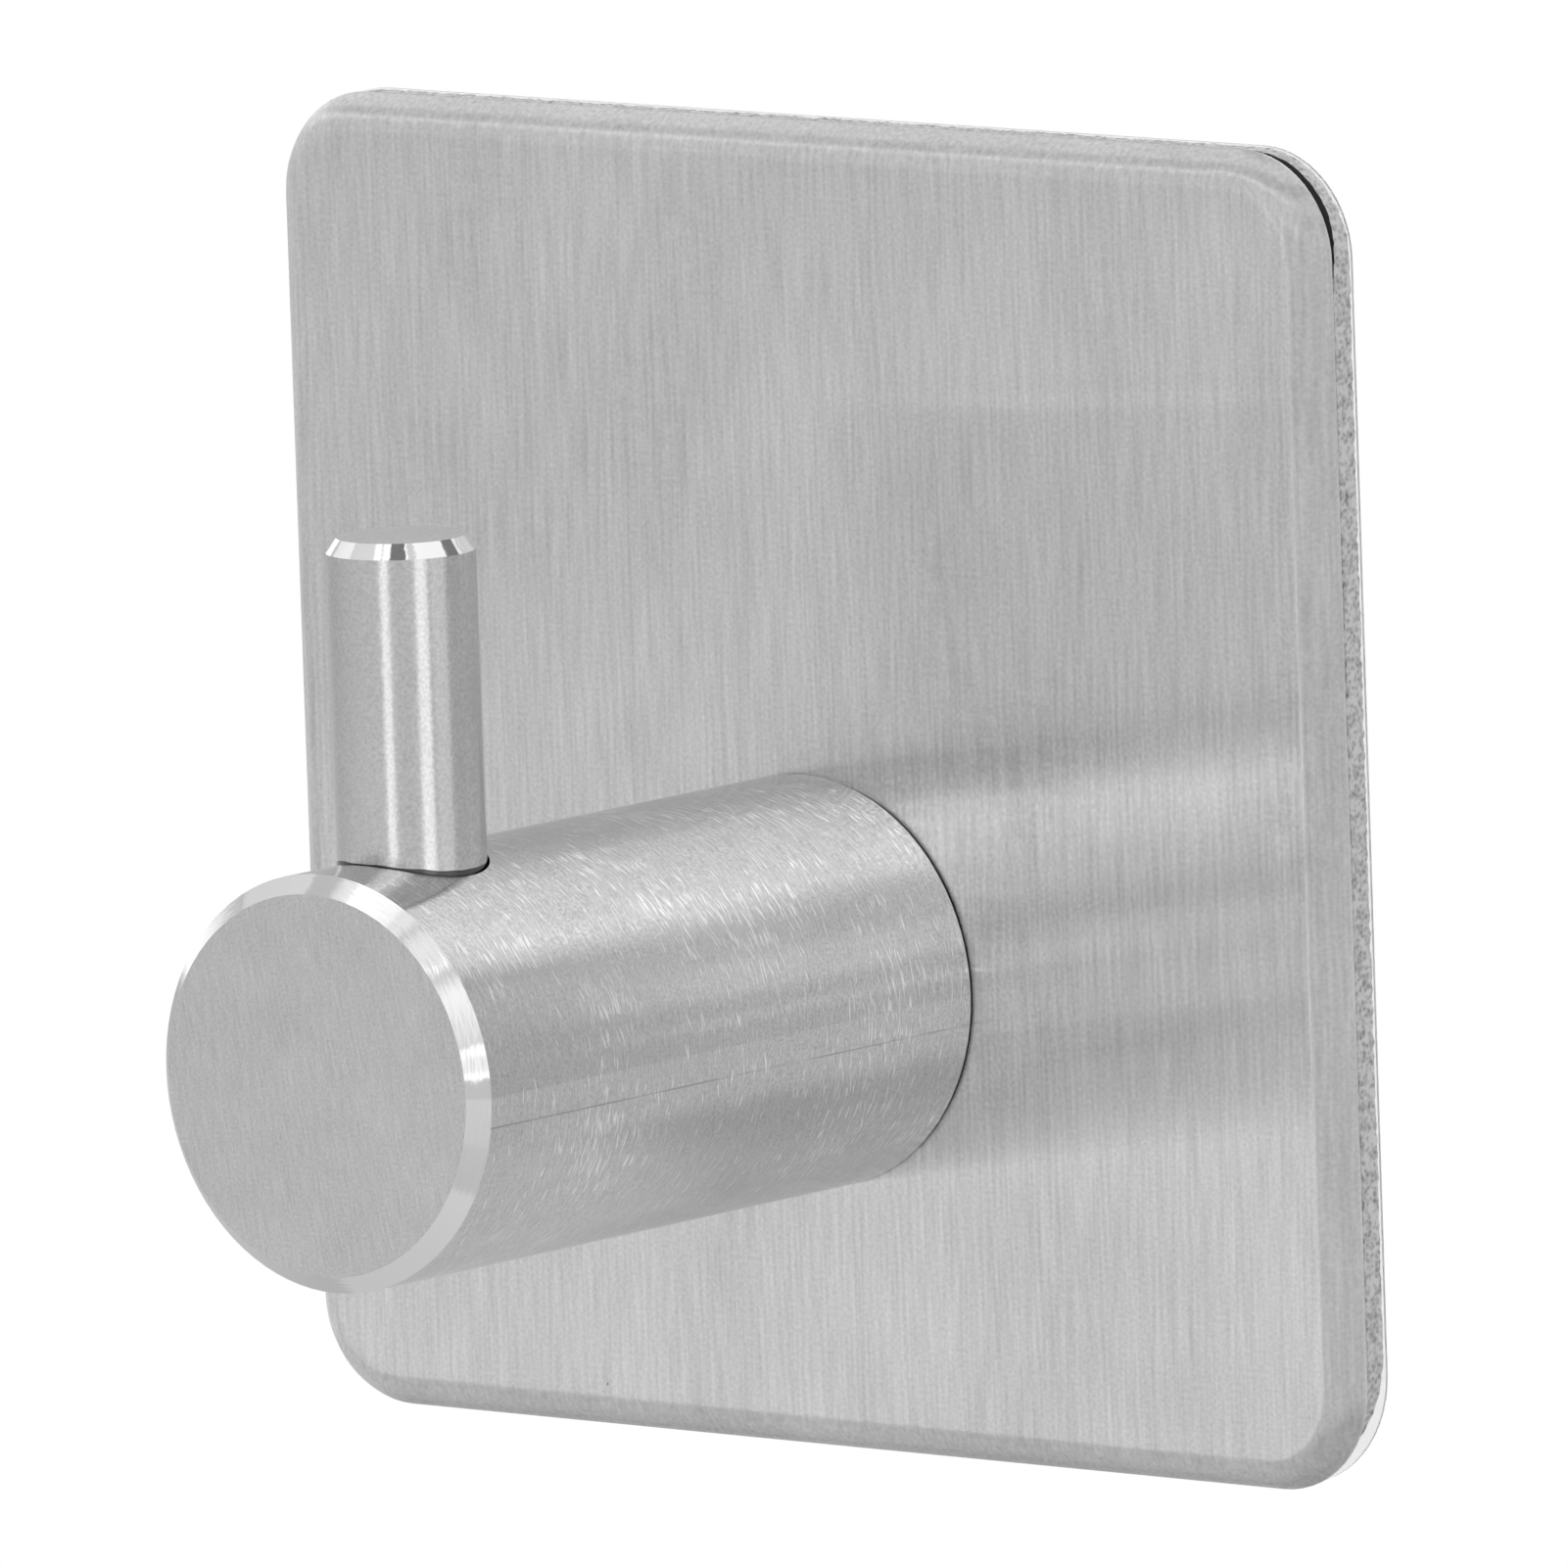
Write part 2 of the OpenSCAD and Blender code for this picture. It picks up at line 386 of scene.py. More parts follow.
# %% Brushed stainless sheet
# Stainless sheet, belt-brushed upright: a pale grey whose reflections stay crisp from top to bottom
# and smear out sideways, with a fine upright grain.
SHEET_WEIGHTS = {"brush": 0.2, "speck": 0.19, "band": 0.04, "cloud": -0.12, "smear": 0.08}
SHEET_TONE = 0.5
PIT_CELL = 2.4 * MM
PIT_RADIUS = 0.05 * MM
PITTED_SHARE = 0.12
SHEET_DARK = linear("#aeaeae")
SHEET_LIGHT = linear("#ececec")
PIT_COLOUR = linear("#848484")
# The belt ran along Z. A hair of lean keeps its way from pointing straight out of the plate's top edge
BELT_WAY = (0, 0.02, 1)
GROOVE_TILT = 0.5
GROOVE_DEPTH = 0.0015 * MM
SHEET_VALLEY_ROUGHNESS = 0.16
SHEET_CREST_ROUGHNESS = 0.135
ROLL_ROUGHNESS = 0.53
# Painted sheen: how much paler the rolled edge is painted
ROLL_SHEEN_TONE = 0.18

facing = add(tree, "ShaderNodeNewGeometry").outputs["Normal"]
# The press has rubbed the rolled edge, which is where the surface turns away from the front, so its
# reflections are blurred there. Its colour is also painted paler there, a painted sheen for the
# brighter light that the edge reflects.
forwards = {0: facing, 1: (0, -1, 0)}
forwards = add(tree, "ShaderNodeVectorMath", forwards, operation="DOT_PRODUCT").outputs["Value"]
on_roll = {"Value": forwards, "From Min": 0.999, "From Max": 0.985}
on_roll = add(tree, "ShaderNodeMapRange", on_roll).outputs[0]
tone = {0: on_roll, 1: ROLL_SHEEN_TONE, 2: SHEET_TONE}
tone = add(tree, "ShaderNodeMath", tone, operation="MULTIPLY_ADD").outputs[0]
for name, weight in SHEET_WEIGHTS.items():
    tone = {0: marks[name], 1: weight, 2: tone}
    tone = add(tree, "ShaderNodeMath", tone, operation="MULTIPLY_ADD").outputs[0]
steel = {0: tone, 6: SHEET_DARK, 7: SHEET_LIGHT}
steel = add(tree, "ShaderNodeMix", steel, data_type="RGBA").outputs[2]

# A few cells of a Voronoi pattern hold a small pit
spread = {"Vector": place, "Scale": (PIT_CELL,) * 3}
spread = add(tree, "ShaderNodeMapping", spread, vector_type="TEXTURE")
cells = add(tree, "ShaderNodeTexVoronoi", {"Vector": spread.outputs[0], "Scale": 1}).outputs
near = {0: cells["Distance"], 1: PIT_RADIUS / PIT_CELL}
near = add(tree, "ShaderNodeMath", near, operation="LESS_THAN").outputs[0]
chosen = add(tree, "ShaderNodeSeparateColor", {0: cells["Color"]}).outputs[0]
chosen = add(tree, "ShaderNodeMath", {0: chosen, 1: PITTED_SHARE}, operation="LESS_THAN").outputs[0]
pit = add(tree, "ShaderNodeMath", {0: near, 1: chosen}, operation="MULTIPLY").outputs[0]
steel = add(tree, "ShaderNodeMix", {0: pit, 6: steel, 7: PIT_COLOUR}, data_type="RGBA").outputs[2]

rough = {
    "Value": marks["brush"],
    "From Min": -0.6,
    "From Max": 0.6,
    "To Min": SHEET_VALLEY_ROUGHNESS,
    "To Max": SHEET_CREST_ROUGHNESS,
}
rough = add(tree, "ShaderNodeMapRange", rough).outputs[0]
relief = {"Height": marks["brush"], "Strength": 1, "Distance": GROOVE_DEPTH}
relief = add(tree, "ShaderNodeBump", relief)
across = add(tree, "ShaderNodeVectorMath", {0: facing, 1: BELT_WAY}, operation="CROSS_PRODUCT")
rough = add(tree, "ShaderNodeMix", {0: on_roll, 2: rough, 3: ROLL_ROUGHNESS}).outputs[0]
# Each groove tilts the surface a little sideways, which smears reflections across the belt's way.
# The grooves are too fine to be seen one by one, so a random tilt at each point stands for them.
groove = add(tree, "ShaderNodeTexWhiteNoise", {"Vector": place}, noise_dimensions="3D")
groove = groove.outputs["Value"]
groove = add(tree, "ShaderNodeMath", {0: groove, 1: 0.5}, operation="SUBTRACT").outputs[0]
tilt = add(tree, "ShaderNodeMath", {0: groove, 1: GROOVE_TILT}, operation="MULTIPLY").outputs[0]
tilt = add(tree, "ShaderNodeVectorMath", {0: across.outputs[0], "Scale": tilt}, operation="SCALE")
tilted = {0: relief.outputs[0], 1: tilt.outputs[0]}
tilted = add(tree, "ShaderNodeVectorMath", tilted, operation="ADD").outputs[0]
tilted = add(tree, "ShaderNodeVectorMath", {0: tilted}, operation="NORMALIZE").outputs[0]
shader = add(tree, "ShaderNodeBsdfPrincipled", {
    "Base Color": steel,
    "Metallic": 1,
    "Roughness": rough,
    "Anisotropic": 1,
    "Tangent": across.outputs[0],
    "Normal": tilted,
})
add(tree, "ShaderNodeOutputMaterial", {"Surface": shader.outputs[0]})
nodes["back_plate"].material_slots[0].material = material
print("Nodes in the sheet's material:", len(tree.nodes))

# %% [markdown]
# ## The turned post
# The post was turned on a lathe, and an abrasive pad was held against it while it spun. So its
# marks run round its side, and they are found by unrolling the side: one coordinate along the
# bar, and one round it. The front face was finished last, by hand, with strokes that lean. The
# chamfer between them was cut by the lathe alone and shines. The surface normal tells the three
# apart, because it points forwards on the face, halfway on the chamfer and sideways on the side.

# %% Unroll the post
post_low, post_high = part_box("post")
post_axis = (post_low + post_high) / 2
post_radius = (post_high.x - post_low.x) / 2

# Turned stainless bar: fine rings that smear reflections along the bar, with short bright scratches
# from the pad. The rings are about 0.05 mm apart and are drawn wider, to show.
material, tree = new_material("turned_stainless_bar")
place = add(tree, "ShaderNodeTexCoord").outputs["Object"]
post_line = Vector((post_axis.x, 0, post_axis.z))
about_axis = {0: place, 1: post_line}
about_axis = add(tree, "ShaderNodeVectorMath", about_axis, operation="SUBTRACT").outputs[0]
split = add(tree, "ShaderNodeSeparateXYZ", {0: about_axis}).outputs
angle = add(tree, "ShaderNodeMath", {0: split["X"], 1: split["Z"]}, operation="ARCTAN2").outputs[0]
arc = add(tree, "ShaderNodeMath", {0: angle, 1: post_radius}, operation="MULTIPLY").outputs[0]
unrolled = add(tree, "ShaderNodeCombineXYZ", {"X": split["Y"], "Y": arc}).outputs[0]
facing = add(tree, "ShaderNodeNewGeometry").outputs["Normal"]
forwards = {0: facing, 1: (0, -1, 0)}
forwards = add(tree, "ShaderNodeVectorMath", forwards, operation="DOT_PRODUCT").outputs["Value"]
on_face = {"Value": forwards, "From Min": 0.85, "From Max": 0.95}
on_face = add(tree, "ShaderNodeMapRange", on_face).outputs[0]
off_side = {"Value": forwards, "From Min": 0.3, "From Max": 0.5}
off_side = add(tree, "ShaderNodeMapRange", off_side).outputs[0]
print("Post radius in mm:", round(post_radius / MM, 2))

# %% Marks on the post's side and face
RING = (0.1 * MM, 40 * MM, 1)
PAD_MARK = (0.09 * MM, 0.8 * MM, 1)
SCRATCH = (0.08 * MM, 0.9 * MM, 1)
PATCH = (5 * MM, 4 * MM, 1)
MOTTLE = (2.5 * MM,) * 3
STROKE = (0.11 * MM, 1, 1.2 * MM)
SPECK = (0.1 * MM,) * 3
SCRATCH_LEAN = math.radians(4)
CROSS_LEAN = math.radians(-13)
STROKE_LEAN = math.radians(-11)
SIDE_TONE = 0.43
SIDE_WEIGHTS = {
    "ring": 0.06, "pad": 0.14, "speck": 0.24, "patch": 0.05, "scratch": 1, "cross": 0.9,
}
FACE_TONE = 0.32
FACE_WEIGHTS = {"stroke": 0.13, "speck": 0.18, "mottle": 0.06}
CHAMFER_TONE = 0.6

marks = {}
for name, surface, size, lean, detail in (
    ("ring", unrolled, RING, (0, 0, 0), 1),
    ("pad", unrolled, PAD_MARK, (0, 0, SCRATCH_LEAN), 1),
    ("scratch", unrolled, SCRATCH, (0, 0, SCRATCH_LEAN), 0),
    ("cross", unrolled, SCRATCH, (0, 0, CROSS_LEAN), 0),
    ("patch", unrolled, PATCH, (0, 0, 0), 1),
    ("stroke", about_axis, STROKE, (0, STROKE_LEAN, 0), 1),
    ("speck", about_axis, SPECK, (0, 0, 0), 0),
    ("mottle", about_axis, MOTTLE, (0, 0, 0), 2),
):
    spread = {"Vector": surface, "Scale": size, "Rotation": lean}
    spread = add(tree, "ShaderNodeMapping", spread, vector_type="TEXTURE").outputs[0]
    noise = {"Vector": spread, "Scale": 1, "Detail": detail}
    marks[name] = add(tree, "ShaderNodeTexNoise", noise, normalize=False).outputs["Fac"]

# Only the crests of the two scratch patterns are kept, and more of them in some patches
for name, start in (("scratch", 0.46), ("cross", 0.5)):
    crest = {0: marks["patch"], 1: 0.35, 2: marks[name]}
    crest = add(tree, "ShaderNodeMath", crest, operation="MULTIPLY_ADD").outputs[0]
    crest = {"Value": crest, "From Min": start, "From Max": start + 0.15}
    marks[name] = add(tree, "ShaderNodeMapRange", crest).outputs[0]

tones = []
for tone, weights in ((SIDE_TONE, SIDE_WEIGHTS), (FACE_TONE, FACE_WEIGHTS)):
    for name, weight in weights.items():
        tone = {0: marks[name], 1: weight, 2: tone}
        tone = add(tree, "ShaderNodeMath", tone, operation="MULTIPLY_ADD").outputs[0]
    tones.append(tone)
# The lathe's own cut on the chamfer is the palest
tone = add(tree, "ShaderNodeMix", {0: off_side, 2: tones[0], 3: CHAMFER_TONE}).outputs[0]
tone = add(tree, "ShaderNodeMix", {0: on_face, 2: tone, 3: tones[1]}).outputs[0]
print("Patterns on the post:", ", ".join(marks))

# %% Turned stainless bar
BAR_DARK = linear("#acacac")
BAR_LIGHT = linear("#f0f0f0")
HAIRLINE_ANGLE = math.radians(98.3)
HAIRLINE_WIDTH = 0.06 * MM
HAIRLINE_COLOUR = linear("#aeaeae")
SEAM_WIDTH = 0.08 * MM
# Colour of the painted shade in the seam against the plate
POST_SEAM_SHADE = linear("#202020")
BAR_VALLEY_ROUGHNESS = 0.19
BAR_CREST_ROUGHNESS = 0.16
CHAMFER_ROUGHNESS = 0.13
PAD_MARK_DEPTH = 0.002 * MM

steel = {0: tone, 6: BAR_DARK, 7: BAR_LIGHT}
steel = add(tree, "ShaderNodeMix", steel, data_type="RGBA").outputs[2]
# A fine line that was scored along the bar, below its right side
off_line = {0: arc, 1: HAIRLINE_ANGLE * post_radius, 2: HAIRLINE_WIDTH / 2}
on_line = add(tree, "ShaderNodeMath", off_line, operation="COMPARE").outputs[0]
on_line = {0: on_line, 1: off_side}
on_line = add(tree, "ShaderNodeMath", on_line, operation="SUBTRACT", use_clamp=True).outputs[0]
worn = {"Value": marks["mottle"], "From Min": -0.6, "From Max": 0.3}
worn = add(tree, "ShaderNodeMapRange", worn).outputs[0]
on_line = add(tree, "ShaderNodeMath", {0: on_line, 1: worn}, operation="MULTIPLY").outputs[0]
steel = {0: on_line, 6: steel, 7: HAIRLINE_COLOUR}
steel = add(tree, "ShaderNodeMix", steel, data_type="RGBA").outputs[2]
# Painted shade: a near-black band at the back of the post stands for the shadow line in the seam
# against the plate
in_seam = {0: split["Y"], 1: post_high.y - SEAM_WIDTH}
in_seam = add(tree, "ShaderNodeMath", in_seam, operation="GREATER_THAN").outputs[0]
steel = {0: in_seam, 6: steel, 7: POST_SEAM_SHADE}
steel = add(tree, "ShaderNodeMix", steel, data_type="RGBA").outputs[2]

rough = {
    "Value": marks["pad"],
    "From Min": -0.6,
    "From Max": 0.6,
    "To Min": BAR_VALLEY_ROUGHNESS,
    "To Max": BAR_CREST_ROUGHNESS,
}
rough = add(tree, "ShaderNodeMapRange", rough).outputs[0]
shine = add(tree, "ShaderNodeMix", {0: off_side, 2: rough, 3: CHAMFER_ROUGHNESS}).outputs[0]
rough = add(tree, "ShaderNodeMix", {0: on_face, 2: shine, 3: rough}).outputs[0]
height = add(tree, "ShaderNodeMix", {0: on_face, 2: marks["pad"], 3: marks["stroke"]}).outputs[0]
relief = add(tree, "ShaderNodeBump", {"Height": height, "Strength": 1, "Distance": PAD_MARK_DEPTH})
along = {0: on_face, 4: (0, 1, 0), 5: (1, 0, 0.2)}
along = add(tree, "ShaderNodeMix", along, data_type="VECTOR").outputs[1]
shader = add(tree, "ShaderNodeBsdfPrincipled", {
    "Base Color": steel,
    "Metallic": 1,
    "Roughness": rough,
    "Anisotropic": 1,
    "Tangent": along,
    "Normal": relief.outputs[0],
})
add(tree, "ShaderNodeOutputMaterial", {"Surface": shader.outputs[0]})
nodes["post"].material_slots[0].material = material
print("Nodes in the bar's material:", len(tree.nodes))

# %% [markdown]
# ## The ground pin
# The pin is a dowel, ground between two wheels, so it is smoother than the brushed pieces and
# shows the lamps as clear streaks. Its chamfer was polished, and its sawn end was left dull.
# Fine grit marks break the streaks up, and they are a noise with no direction.

# %% Ground stainless pin
# Ground stainless dowel: clear streaks of light with a fine sparkle, a bright rim and a dull end.
# The grit marks are about 0.02 mm and are drawn larger, to show.
GRIT = (0.12 * MM,) * 3
PIN_CLOUD = Vector((3, 3, 5)) * MM
PIN_DARK = linear("#a4a4a4")
PIN_LIGHT = linear("#e2e2e2")
RIM_COLOUR = linear("#f2f2f2")
# Colour and height of the painted shade round the pin's foot
FOOT_SHADE = linear("#5c5c5c")
FOOT_SHADE_HEIGHT = 0.05 * MM
PIN_TONE = 0.5
PIN_WEIGHTS = {"grit": 0.22, "cloud": 0.06}
PIN_ROUGHNESS = 0.19
RIM_ROUGHNESS = 0.07
END_ROUGHNESS = 0.42

pin_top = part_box("hook_pin")[1].z
material, tree = new_material("ground_stainless_pin")
place = add(tree, "ShaderNodeTexCoord").outputs["Object"]
facing = add(tree, "ShaderNodeNewGeometry").outputs["Normal"]
upwards = add(tree, "ShaderNodeSeparateXYZ", {0: facing}).outputs["Z"]
marks = {}
for name, size, detail in (("grit", GRIT, 1), ("cloud", PIN_CLOUD, 2)):
    spread = add(tree, "ShaderNodeMapping", {"Vector": place, "Scale": size}, vector_type="TEXTURE")
    noise = {"Vector": spread.outputs[0], "Scale": 1, "Detail": detail}
    marks[name] = add(tree, "ShaderNodeTexNoise", noise, normalize=False).outputs["Fac"]
tone = PIN_TONE
for name, weight in PIN_WEIGHTS.items():
    tone = {0: marks[name], 1: weight, 2: tone}
    tone = add(tree, "ShaderNodeMath", tone, operation="MULTIPLY_ADD").outputs[0]
steel = {0: tone, 6: PIN_DARK, 7: PIN_LIGHT}
steel = add(tree, "ShaderNodeMix", steel, data_type="RGBA").outputs[2]
# The normal is level on the side, points half up on the chamfer and straight up on the end
off_side = {"Value": upwards, "From Min": 0.2, "From Max": 0.4}
off_side = add(tree, "ShaderNodeMapRange", off_side).outputs[0]
on_end = {"Value": upwards, "From Min": 0.8, "From Max": 0.95}
on_end = add(tree, "ShaderNodeMapRange", on_end).outputs[0]
polished = add(tree, "ShaderNodeMath", {0: off_side, 1: on_end}, operation="SUBTRACT").outputs[0]
steel = {0: polished, 6: steel, 7: RIM_COLOUR}
steel = add(tree, "ShaderNodeMix", steel, data_type="RGBA").outputs[2]
# Painted shade round the foot, close above the post's round side, in an uneven line: a dark band that
# stands for the shadow in the seam where the pin meets the post
height = {0: place, 1: post_line}
height = add(tree, "ShaderNodeVectorMath", height, operation="SUBTRACT").outputs[0]
height = {0: height, 1: (1, 0, 1)}
height = add(tree, "ShaderNodeVectorMath", height, operation="MULTIPLY").outputs[0]
height = add(tree, "ShaderNodeVectorMath", {0: height}, operation="LENGTH").outputs["Value"]
shade_top = {0: marks["cloud"], 1: 4 * FOOT_SHADE_HEIGHT, 2: post_radius + FOOT_SHADE_HEIGHT}
shade_top = add(tree, "ShaderNodeMath", shade_top, operation="MULTIPLY_ADD").outputs[0]
in_foot_shade = add(tree, "ShaderNodeMath", {0: height, 1: shade_top}, operation="LESS_THAN").outputs[0]
steel = {0: in_foot_shade, 6: steel, 7: FOOT_SHADE}
steel = add(tree, "ShaderNodeMix", steel, data_type="RGBA").outputs[2]
rough = {0: off_side, 2: PIN_ROUGHNESS, 3: RIM_ROUGHNESS}
rough = add(tree, "ShaderNodeMix", rough).outputs[0]
rough = add(tree, "ShaderNodeMix", {0: on_end, 2: rough, 3: END_ROUGHNESS}).outputs[0]
relief = {"Height": marks["grit"], "Strength": 0.25, "Distance": 0.002 * MM}
relief = add(tree, "ShaderNodeBump", relief)
shader = add(tree, "ShaderNodeBsdfPrincipled", {
    "Base Color": steel,
    "Metallic": 1,
    "Roughness": rough,
    "Normal": relief.outputs[0],
})
add(tree, "ShaderNodeOutputMaterial", {"Surface": shader.outputs[0]})
nodes["hook_pin"].material_slots[0].material = material
print("Pin above the post in mm:", round((pin_top - post_high.z) / MM, 2))

# %% [markdown]
# ## The hidden screw
# A countersunk screw holds the post from behind, under the pad. It is an ordinary zinc-plated
# screw, so it gets a plainer finish: a dull grey with the faint blotches of a plating bath.

# %% Zinc-plated screw
# Zinc-plated steel: a slightly blotchy, dull sheen.
PLATING_BLOTCH = (0.6 * MM,) * 3
ZINC_DARK = linear("#8c8e90")
ZINC_LIGHT = linear("#b6b8ba")

material, tree = new_material("zinc_plated_screw")
place = add(tree, "ShaderNodeTexCoord").outputs["Object"]
spread = {"Vector": place, "Scale": PLATING_BLOTCH}
spread = add(tree, "ShaderNodeMapping", spread, vector_type="TEXTURE").outputs[0]
blotch = {"Vector": spread, "Scale": 1, "Detail": 3}
blotch = add(tree, "ShaderNodeTexNoise", blotch).outputs["Fac"]
zinc = {0: blotch, 6: ZINC_DARK, 7: ZINC_LIGHT}
zinc = add(tree, "ShaderNodeMix", zinc, data_type="RGBA").outputs[2]
rough = {"Value": blotch, "To Min": 0.35, "To Max": 0.5}
rough = add(tree, "ShaderNodeMapRange", rough).outputs[0]
shader = {"Base Color": zinc, "Metallic": 1, "Roughness": rough}
shader = add(tree, "ShaderNodeBsdfPrincipled", shader)
add(tree, "ShaderNodeOutputMaterial", {"Surface": shader.outputs[0]})
nodes["fixing_screw"].material_slots[0].material = material
print("Nodes in the screw's material:", len(tree.nodes))

# %% [markdown]
# ## The foam pad
# The pad is a millimetre of closed-cell foam, die-cut to the plate's outline, and its cut edge
# shows as a grainy grey line along the plate. A plain block would look like card, so the outline
# is drawn as a loop of short edges, extruded in thin layers, and roughened by a displacement that
# only ever pushes inwards. At the upper right corner the foam has come away from the plate a
# little, which leaves the dark gap that the photograph shows.

# %% Draw the pad's outline
PAD_CORNER = 3.6 * MM
PEEL_CORNER = 4.8 * MM
CORNER_STEPS = 12
SIDE_CUTS = 100
FINE_CUTS = 2
TOUCHING = 0.01 * MM


def select_points(piece, wanted):
    bpy.ops.object.mode_set(mode="EDIT")
    bpy.ops.mesh.select_mode(type="VERT")
    bpy.ops.mesh.select_all(action="DESELECT")
    bpy.ops.object.mode_set(mode="OBJECT")
    for vertex in piece.data.vertices:
        vertex.select = wanted(vertex.co)
    bpy.ops.object.mode_set(mode="EDIT")


pad_low, pad_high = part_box("foam_pad")
pad_middle = (pad_low + pad_high) / 2
pad_size = pad_high - pad_low
bpy.ops.object.select_all(action="DESELECT")
bpy.ops.mesh.primitive_plane_add(
    size=1,
    location=(pad_middle.x, pad_high.y, pad_middle.z),
    rotation=(math.radians(90), 0, 0),
)
foam = bpy.context.object
foam.name = "die_cut_foam"
foam.scale = (pad_size.x, pad_size.z, 1)
bpy.ops.object.transform_apply(location=True, rotation=True, scale=True)
for side_x, side_z in ((pad_low.x, pad_low.z), (pad_low.x, pad_high.z), (pad_high.x, pad_high.z)):
    corner = Vector((side_x, pad_high.y, side_z))
    select_points(foam, lambda point: (point - corner).length < TOUCHING)
    bpy.ops.mesh.bevel(offset=PAD_CORNER, segments=CORNER_STEPS, affect="VERTICES")
    bpy.ops.object.mode_set(mode="OBJECT")
# The lower right corner is cut back further, for peeling
corner = Vector((pad_high.x, pad_high.y, pad_low.z))
select_points(foam, lambda point: (point - corner).length < TOUCHING)
bpy.ops.mesh.bevel(offset=PEEL_CORNER, segments=CORNER_STEPS, affect="VERTICES")
bpy.ops.mesh.select_all(action="SELECT")
bpy.ops.mesh.delete(type="ONLY_FACE")
bpy.ops.object.mode_set(mode="OBJECT")
# The ends of the straight sides are the only points that touch the outline's box
select_points(foam, lambda point: min(
    pad_size.x / 2 - abs(point.x - pad_middle.x),
    pad_size.z / 2 - abs(point.z - pad_middle.z),
) < TOUCHING)
bpy.ops.mesh.subdivide(number_cuts=SIDE_CUTS)
bpy.ops.mesh.select_all(action="SELECT")
bpy.ops.mesh.subdivide(number_cuts=FINE_CUTS)
bpy.ops.object.mode_set(mode="OBJECT")
print("Points on the pad's outline:", len(foam.data.vertices))

# %% Extrude the pad in layers
PAD_LAYERS = 8
layer_step = pad_size.y / PAD_LAYERS
select_points(foam, lambda point: True)
for layer in range(PAD_LAYERS):
    bpy.ops.mesh.extrude_edges_move(TRANSFORM_OT_translate={"value": (0, -layer_step, 0)})
bpy.ops.object.mode_set(mode="OBJECT")
print("Points on the pad's edge:", len(foam.data.vertices))

# %% Close the pad and open a gap at the upper right corner
# A ring is inset in the front face, so that the rim can sink without the rest. Each step then
# thins a shorter stretch of the rim towards the wall, so the gap tapers out at both ends.
RIM_WIDTH = 1.2 * MM
GAP_REACHES = (4.2 * MM, 3.6 * MM, 3.1 * MM, 2.6 * MM, 2.2 * MM)
GAP_THINNING = 0.915
for cap in (pad_high.y, pad_low.y):
    select_points(foam, lambda point: abs(point.y - cap) < layer_step / 2)
    bpy.ops.mesh.edge_face_add()
    bpy.ops.object.mode_set(mode="OBJECT")
bpy.ops.object.mode_set(mode="EDIT")
bpy.ops.mesh.select_all(action="SELECT")
bpy.ops.mesh.normals_make_consistent(inside=False)
bpy.ops.object.mode_set(mode="OBJECT")
select_points(foam, lambda point: abs(point.y - pad_low.y) < layer_step / 2)
bpy.ops.mesh.select_mode(type="FACE")
bpy.ops.mesh.inset(thickness=RIM_WIDTH)
bpy.ops.object.mode_set(mode="OBJECT")


def on_rim(point):
    # The rim lies further from the middle of the corner's arc than the inset ring does
    past_x = max(point.x - (pad_high.x - PAD_CORNER), 0)
    past_z = max(point.z - (pad_high.z - PAD_CORNER), 0)
    return math.hypot(past_x, past_z) > PAD_CORNER - RIM_WIDTH / 2


def from_gap(point):
    return math.hypot(point.x - pad_high.x, point.z - pad_high.z)


for reach in GAP_REACHES:
    select_points(foam, lambda point: from_gap(point) < reach and on_rim(point))
    bpy.ops.transform.resize(value=(1, GAP_THINNING, 1), center_override=(0, pad_high.y, 0))
    bpy.ops.object.mode_set(mode="OBJECT")
gap_depth = pad_size.y * (1 - GAP_THINNING ** len(GAP_REACHES))
print("Depth of the gap in mm:", round(gap_depth / MM, 2))

# %% Roughen the pad's cut edge
# The foam's cells are about 0.25 mm, and the die has torn them open to half of that depth
FOAM_CELL = 0.25 * MM
TORN_DEPTH = 0.12 * MM
grain = bpy.data.textures.new("torn_cells", type="CLOUDS")
grain.noise_scale = FOAM_CELL
grain.noise_depth = 1
torn = foam.modifiers.new("torn_cells", "DISPLACE")
torn.texture = grain
torn.texture_coords = "LOCAL"
torn.mid_level = 1
torn.strength = TORN_DEPTH
bpy.ops.object.modifier_apply(modifier=torn.name)
bpy.ops.object.shade_smooth_by_angle(angle=math.radians(50))
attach(foam, "root")
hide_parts("foam_pad")
print("Pad triangles:", sum(len(face.vertices) - 2 for face in foam.data.polygons))

# %% Grey closed-cell foam
# Polyethylene foam, die-cut: a dull grey with paler cell walls and dark open cells.
FOAM_DARK = linear("#666666")
FOAM_LIGHT = linear("#cacaca")
# Near-black colour of the painted shade on the foam's front and along its seam
PAINTED_GAP_SHADE = linear("#2a2a2a")
# How far the painted seam shade reaches into the foam
FOAM_SEAM_SHADE_REACH = 0.25 * MM
CELL = (0.16 * MM,) * 3
material, tree = new_material("die_cut_grey_foam")
place = add(tree, "ShaderNodeTexCoord").outputs["Object"]
spread = {"Vector": place, "Scale": CELL}
spread = add(tree, "ShaderNodeMapping", spread, vector_type="TEXTURE").outputs[0]
cells = {"Vector": spread, "Scale": 1}
cells = add(tree, "ShaderNodeTexVoronoi", cells, feature="SMOOTH_F1").outputs["Distance"]
grain = {"Vector": spread, "Scale": 0.4, "Detail": 2}
grain = add(tree, "ShaderNodeTexNoise", grain).outputs["Fac"]
tone = add(tree, "ShaderNodeMath", {0: cells, 1: grain}, operation="ADD").outputs[0]
tone = {"Value": tone, "From Min": 0.3, "From Max": 1.1}
tone = add(tree, "ShaderNodeMapRange", tone).outputs[0]
colour = {0: tone, 6: FOAM_DARK, 7: FOAM_LIGHT}
colour = add(tree, "ShaderNodeMix", colour, data_type="RGBA").outputs[2]
